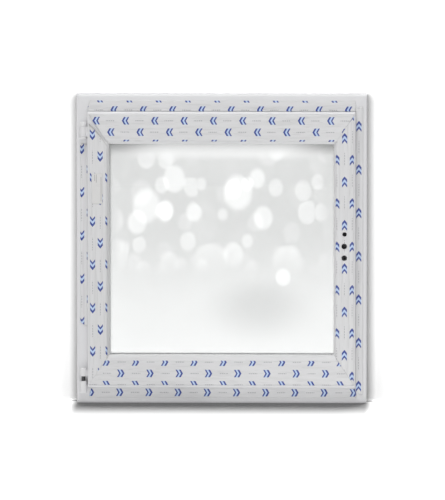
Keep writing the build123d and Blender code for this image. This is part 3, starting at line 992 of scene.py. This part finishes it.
# %% Cut the handle holes
HANDLE_X = 0.226049
HANDLE_Z = 0.292
HANDLE_PITCH = 0.0215
RIM_RISE = 0.0003
FILM_HOLES = (
    (HANDLE_X, HANDLE_Z - HANDLE_PITCH, 0.0053),
    (HANDLE_X, HANDLE_Z, 0.0054),
    (HANDLE_X + 0.0006, HANDLE_Z + HANDLE_PITCH + 0.0008, 0.0041),
)


def from_centre(point, x, z):
    """The way from a hole's centre to a point, in the plane of the face."""
    return Vector((point.x - x, 0, point.z - z))


handle_film = film_pieces["sash_film_right"].data
cut = bmesh.new()
cut.from_mesh(handle_film)
for x, z, radius in FILM_HOLES:
    inside = [face for face in cut.faces if from_centre(face.calc_center_median(), x, z).length < radius]
    rim = {vert for face in inside for vert in face.verts}
    bmesh.ops.delete(cut, geom=inside, context="FACES")
    for vert in rim:
        if vert.is_valid:
            offset = from_centre(vert.co, x, z)
            vert.co += offset.normalized() * (radius - offset.length)
            vert.co.y -= RIM_RISE
cut.to_mesh(handle_film)
cut.free()
print("film on the handle stile:", len(handle_film.polygons), "faces")

# %% Finish the strips


def thicken(sheet, name, thickness):
    """Gives a sheet its thickness, inwards from its face."""
    modifier = sheet.modifiers.new(name, "SOLIDIFY")
    modifier.thickness = thickness
    modifier.offset = -1


for piece in film_pieces.values():
    thicken(piece, "film_thickness", FILM_THICKNESS)
    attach(piece, "root")

# %% [markdown]
# ## Paper label
# A paper label with a few ruled lines sits over the film on the hinge stile. It is a thin sheet with
# round corners, a little wavy where the film under it is, and one corner has come up. Its outline is
# a rounded rectangle filled with a grid, so that the sheet can bend.

# %% Label
LABEL_SIZE = (0.0200, 0.0560)
LABEL_CENTRE = (-0.2290, 0.398)
LABEL_ROUND = 0.0025
LABEL_CELLS = (12, 30)
LABEL_LINES = ((0.0074, -0.0010, 0.0225), (-0.0042, 0.0200, 0.0060), (-0.0012, 0.0185, 0.0075))
LINE_HALF_WIDTH = 0.00055
PAPER_THICKNESS = 0.00012


def label_point(column, row):
    """A point of the label's grid, drawn in at the corners, with its height off the sash."""
    u = (column / LABEL_CELLS[0] - 0.5) * LABEL_SIZE[0]
    v = (row / LABEL_CELLS[1] - 0.5) * LABEL_SIZE[1]
    past_u = max(0.0, abs(u) - (LABEL_SIZE[0] / 2 - LABEL_ROUND))
    past_v = max(0.0, abs(v) - (LABEL_SIZE[1] / 2 - LABEL_ROUND))
    if past_u > 0 and past_v > 0:
        pull = max(past_u, past_v) / math.hypot(past_u, past_v)
        u -= math.copysign(past_u * (1 - pull), u)
        v -= math.copysign(past_v * (1 - pull), v)
    corner = max(0.0, u / LABEL_SIZE[0] + v / LABEL_SIZE[1] - 0.62)
    height = 0.0008 + 0.00015 * math.sin(170 * v) * math.cos(240 * u) + 0.008 * corner**2
    return (LABEL_CENTRE[0] + u, SASH_FACE - height, LABEL_CENTRE[1] + v)


columns, rows = LABEL_CELLS
step = columns + 1
label_points = [label_point(c, r) for r in range(rows + 1) for c in range(step)]
label_faces = [
    (r * step + c, r * step + c + 1, (r + 1) * step + c + 1, (r + 1) * step + c)
    for r in range(rows) for c in range(columns)
]
label_mesh = bpy.data.meshes.new("paper_label")
label_mesh.from_pydata(label_points, [], label_faces)
label_mesh.shade_smooth()
label = add_object("paper_label", label_mesh)
thicken(label, "paper_thickness", PAPER_THICKNESS)

paper, tree, shader = new_finish("label_paper", (0.75, 0.745, 0.74), 0.6)
place = own_place(tree)
fibres = noise(tree, stretched(tree, place, (900, 900, 500)), 1.0, 3.0)
rubbed = use_group(tree, handling, Position=place, Scale=55.0, Cover=0.36)["Smudge"]
pale = blend(tree, fibres, (0.765, 0.76, 0.755), (0.73, 0.727, 0.72))
on_label = wired(tree, "ShaderNodeSeparateXYZ", {0: place}).node.outputs
ruled = 0.0
for line_u, line_v, half_length in LABEL_LINES:
    wide = calc(tree, "COMPARE", on_label["X"], LABEL_CENTRE[0] + line_u, LINE_HALF_WIDTH)
    long = calc(tree, "COMPARE", on_label["Z"], LABEL_CENTRE[1] + line_v, half_length)
    ruled = calc(tree, "MAXIMUM", ruled, calc(tree, "MULTIPLY", wide, long))
lined = blend(tree, calc(tree, "MULTIPLY", ruled, 0.7), pale, (0.30, 0.29, 0.28))
soiled = blend(tree, calc(tree, "MULTIPLY", rubbed, 0.4), lined, (0.62, 0.62, 0.62))
feed(tree, shader.inputs["Base Color"], soiled)
bump(tree, shader, fibres, 0.2, 0.0002)
label_mesh.materials.append(paper)
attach(label, "root")
print("label faces", label_mesh.polygons[0].normal[:])

# %% [markdown]
# ## Drying slits of the spacer bar
# The spacer is filled with drying beads that breathe through rows of tiny slits on its inner face.
# Hundreds of the same thing along a path are a case for Geometry Nodes: a rectangle curve gives
# evenly spaced points, and a low prism is set on each, turned along the curve.

# %% Slit tree
slit_tree = bpy.data.node_groups.new("spacer_slits", "GeometryNodeTree")
slit_inputs = tree_inputs(slit_tree, {
    "Width": 0.41, "Height": 0.39, "Pitch": 0.006, "Slit length": 0.0022, "Slit radius": 0.0005,
})
SLIT_SIDES = 8
SLIT_DEPTH = 0.00016
given = add_node(slit_tree, "NodeGroupInput").outputs
path = wired(slit_tree, "GeometryNodeCurvePrimitiveQuadrilateral", {
    "Width": given["Width"], "Height": given["Height"],
})
spots = wired(slit_tree, "GeometryNodeCurveToPoints", {
    "Curve": path, "Length": given["Pitch"],
}, mode="LENGTH").node.outputs
prism = wired(slit_tree, "GeometryNodeMeshCylinder", {
    "Vertices": SLIT_SIDES, "Radius": given["Slit radius"], "Depth": SLIT_DEPTH,
}, fill_type="NGON")
facing = wired(slit_tree, "FunctionNodeAlignRotationToVector", {"Vector": spots["Normal"]}, axis="Z")
running = wired(slit_tree, "FunctionNodeAlignRotationToVector", {
    "Rotation": facing, "Vector": spots["Tangent"],
}, axis="X", pivot_axis="Z")
half_slit = calc(slit_tree, "MULTIPLY", given["Slit length"], 0.5)
drawn_out = wired(slit_tree, "ShaderNodeCombineXYZ", {
    0: calc(slit_tree, "DIVIDE", half_slit, given["Slit radius"]), 1: 1.0, 2: 1.0,
})
placed = wired(slit_tree, "GeometryNodeInstanceOnPoints", {
    "Points": spots["Points"], "Instance": prism, "Rotation": running, "Scale": drawn_out,
})
# The slits are near black: painted shade of their openings.
end_tree(slit_tree, placed, dull_finish("slit_shadow", (0.03,) * 3, (0.06,) * 3, 0.7, 700))

# %% Place the slits
SPACER_INNER = SIGHT_LINE - 0.001
spacer_low, spacer_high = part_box("spacer_bar")
slit_mesh = made_mesh("spacer_slits", slit_tree, {
    slit_inputs["Width"]: 2 * reach("top", SPACER_INNER),
    slit_inputs["Height"]: 2 * reach("left", SPACER_INNER),
})
spacer_middle = (spacer_low.y + spacer_high.y) / 2
upright = Matrix.Translation((0, spacer_middle, HEIGHT / 2)) @ Matrix.Rotation(math.radians(90), 4, "X")
slit_mesh.transform(upright)
slits = add_object("spacer_slits", slit_mesh)
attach(slits, "root")
print("spacer slits:", len(slit_mesh.polygons), "faces")
